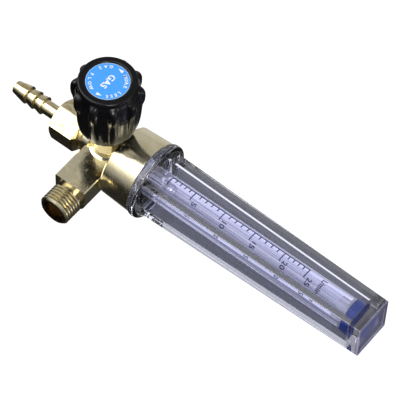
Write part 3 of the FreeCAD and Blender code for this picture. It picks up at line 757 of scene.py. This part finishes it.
def scale_print():
    """Navy graduations and numbers, wrapped on the front of the flow tube."""
    heights = list(SCALE_LINES.values())
    parts = [stroke(SPINE_X, heights[0], LINE_WIDTH, heights[-1] - heights[0])]
    for below, above in zip(heights, heights[1:]):
        for minor in range(1, 5):
            up = below + (above - below) * minor / 5
            parts.append(stroke(SPINE_X, up, SHORT_TICK, LINE_WIDTH))
    for number, up in SCALE_LINES.items():
        parts.append(stroke(SPINE_X, up, LONG_TICK, LINE_WIDTH))
        if number:
            place = (SPINE_X + LONG_TICK + NUMBER_GAP, up + NUMBER_RISE)
            parts.append(lettering(f"scale_{number}", str(number), NUMBER_SIZE, place, 0))
    unit_place = (UNIT_ACROSS, heights[-1] + UNIT_RISE)
    parts.append(lettering("scale_unit", "L/min", UNIT_SIZE, unit_place, 0))
    piece = join("scale_print", parts)
    edit(piece)
    for step in range(-9, 10):
        bpy.ops.mesh.select_all(action="SELECT")
        bpy.ops.mesh.bisect(plane_co=(step * BEND_STEP * MM, 0, 0), plane_no=(1, 0, 0))
    put_down()
    piece.rotation_euler = (math.pi / 2, 0, 0)
    piece.location = (TUBE_X, TUBE_Y - 2 * TUBE_RADIUS, 0)
    bake_place(piece)
    apply_modifier(
        piece, "SHRINKWRAP", "wrapped", target=NODES["flow_tube"], wrap_method="PROJECT",
        use_project_y=True, use_project_x=False, use_project_z=False,
        use_positive_direction=True, use_negative_direction=False, offset=0.02 * MM,
    )
    apply_modifier(piece, "SOLIDIFY", "ink", thickness=PRINT_THICKNESS * MM, offset=0.0)
    facing_out(piece)
    finish_with(piece, "navy_ink")
    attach(piece, "main")


knob()
label_print()
sight_cover()
scale_print()


# ------------------------------------------------------------------ camera, floor and light


FLOOR_HEIGHT = -2.5
FLOOR_RADIUS = 20
# the camera's place, the directions of its right, its down and its view, and its lens in mm
EYE_PLACE = Vector((0.39987, -0.82407, 0.35679))
EYE_RIGHT = Vector((-0.6208, -0.0283, 0.7834))
EYE_DOWN = Vector((0.6455, 0.5486, 0.5314))
EYE_FORWARD = Vector((-0.4448, 0.8356, -0.3223))
EYE_LENS = 237.5


def camera():
    bpy.ops.object.camera_add(location=EYE_PLACE)
    eye = bpy.context.object
    turn = Matrix((EYE_RIGHT, -EYE_DOWN, -EYE_FORWARD)).transposed()
    eye.rotation_euler = turn.to_euler()
    eye.data.sensor_width = 36
    eye.data.lens = EYE_LENS
    eye.data.dof.use_dof = False
    bpy.context.scene.camera = eye


# Brightness of the surroundings by azimuth in degrees, 0 along +X and 90 along +Y. LOW_GLOW is
# below the horizon, where the upright faces of the brass mirror it, HIGH_GLOW is above, and
# CLEAR_GLOW is below the horizon as the clear pieces pass it on.
LOW_GLOW = [
    (-180, 0.50), (-150, 0.52), (-130, 0.44), (-112, 0.42), (-103, 0.80), (-97, 3.4), (-48, 3.8),
    (-38, 1.5), (-20, 0.55), (0, 0.16), (12, 0.02), (90, 0.02), (104, 0.25), (124, 0.50),
    (150, 0.60), (180, 0.60),
]
HIGH_GLOW = [
    (-180, 0.30), (-140, 0.45), (-110, 0.75), (-60, 1.1), (-25, 0.5), (10, 0.10), (60, 0.05),
    (130, 0.05), (160, 0.16), (180, 0.30),
]
CLEAR_GLOW = [
    (-180, 0.90), (-140, 1.0), (-118, 0.70), (-80, 1.4), (-50, 2.0), (-20, 0.6), (8, 0.14),
    (50, 0.15), (72, 0.14), (95, 0.13), (122, 0.21), (134, 0.6), (145, 1.15), (165, 1.4),
    (180, 0.90),
]


def glow_by_azimuth(material, direction, table):
    """Brightness read round the horizon from a table of (degrees, brightness)."""
    axes = add(material, "ShaderNodeSeparateXYZ", Vector=direction)
    turn = math_node(material, "ARCTAN2", axes.outputs["Y"], axes.outputs["X"])
    share = span(material, turn, -math.pi, math.pi, 0.0, 1.0)
    stops = [((degrees + 180) / 360, (value, value, value, 1)) for degrees, value in table]
    return ramp(material, share, stops), axes.outputs["Z"]


def low_card(name, height, table, mirrored):
    """A glowing sheet just over the floor that only reflections or only clear pieces see."""
    put_down()
    bpy.ops.mesh.primitive_circle_add(
        vertices=64, radius=FLOOR_RADIUS, fill_type="NGON", location=(0, 0, FLOOR_HEIGHT + height)
    )
    piece = bpy.context.object
    piece.name = name
    material = bpy.data.materials.new(f"{name}_glow")
    material.use_nodes = True
    material.node_tree.nodes.clear()
    place = add(material, "ShaderNodeTexCoord").outputs["Object"]
    colour, _ = glow_by_azimuth(material, place, table)
    light = add(material, "ShaderNodeEmission", Color=colour, Strength=1.0)
    output = add(material, "ShaderNodeOutputMaterial")
    material.node_tree.links.new(light.outputs[0], output.inputs["Surface"])
    piece.data.materials.append(material)
    piece.visible_camera = False
    piece.visible_diffuse = False
    piece.visible_shadow = False
    piece.visible_glossy = mirrored
    piece.visible_transmission = not mirrored


def stage_material(name, colour, glow):
    """A plain dull material that glows in its own colour."""
    material, surface, _ = new_material(name, Roughness=0.9)
    surface.inputs["Base Color"].default_value = colour
    surface.inputs["Emission Color"].default_value = colour
    surface.inputs["Emission Strength"].default_value = glow
    return material


def floor():
    put_down()
    bpy.ops.mesh.primitive_circle_add(
        vertices=64, radius=FLOOR_RADIUS, fill_type="NGON", location=(0, 0, FLOOR_HEIGHT)
    )
    piece = bpy.context.object
    piece.name = "floor"
    piece.data.materials.append(stage_material("pale_floor", paint("f7f7f7"), 0.8))


def card(name, direction, distance, size, strength):
    """A soft white light that shines at the object from one direction."""
    put_down()
    aim = Vector(direction).normalized()
    centre = Vector((VALVE_X, -0.01, 0.03))
    bpy.ops.object.light_add(type="AREA", location=centre + aim * distance)
    lamp = bpy.context.object
    lamp.name = name
    lamp.rotation_euler = aim.to_track_quat("Z", "Y").to_euler()
    lamp.data.shape = "RECTANGLE"
    lamp.data.size, lamp.data.size_y = size
    lamp.data.energy = strength


def surroundings():
    """White to the eye; for light, brighter above and in front, darker low and behind."""
    world = bpy.data.worlds.new("studio")
    bpy.context.scene.world = world
    world.use_nodes = True
    world.node_tree.nodes.clear()
    direction = add(world, "ShaderNodeTexCoord").outputs["Generated"]
    round_about, height = glow_by_azimuth(world, direction, HIGH_GLOW)
    overhead = span(world, height, 0.55, 0.9, 0.0, 1.0)
    glow = mix_colours(world, overhead, round_about, (0.45, 0.45, 0.46, 1))
    eye = add(world, "ShaderNodeLightPath").outputs["Is Camera Ray"]
    colour = mix_colours(world, eye, glow, (1, 1, 1, 1))
    background = add(world, "ShaderNodeBackground", Color=colour, Strength=1.0)
    output = add(world, "ShaderNodeOutputWorld")
    world.node_tree.links.new(background.outputs[0], output.inputs["Surface"])


camera()
floor()
low_card("mirror_card", 0.01, LOW_GLOW, True)
low_card("clear_card", 0.005, CLEAR_GLOW, False)
surroundings()
card("key", (0.5, -0.75, 0.6), 1.0, (0.4, 0.4), 4.5)
card("top", (-0.2, 0.1, 1.0), 1.2, (0.8, 0.8), 3)
bpy.context.scene.view_settings.view_transform = "Standard"
# light runs along inside the clear walls by many inner reflections
bpy.context.scene.cycles.glossy_bounces = 12
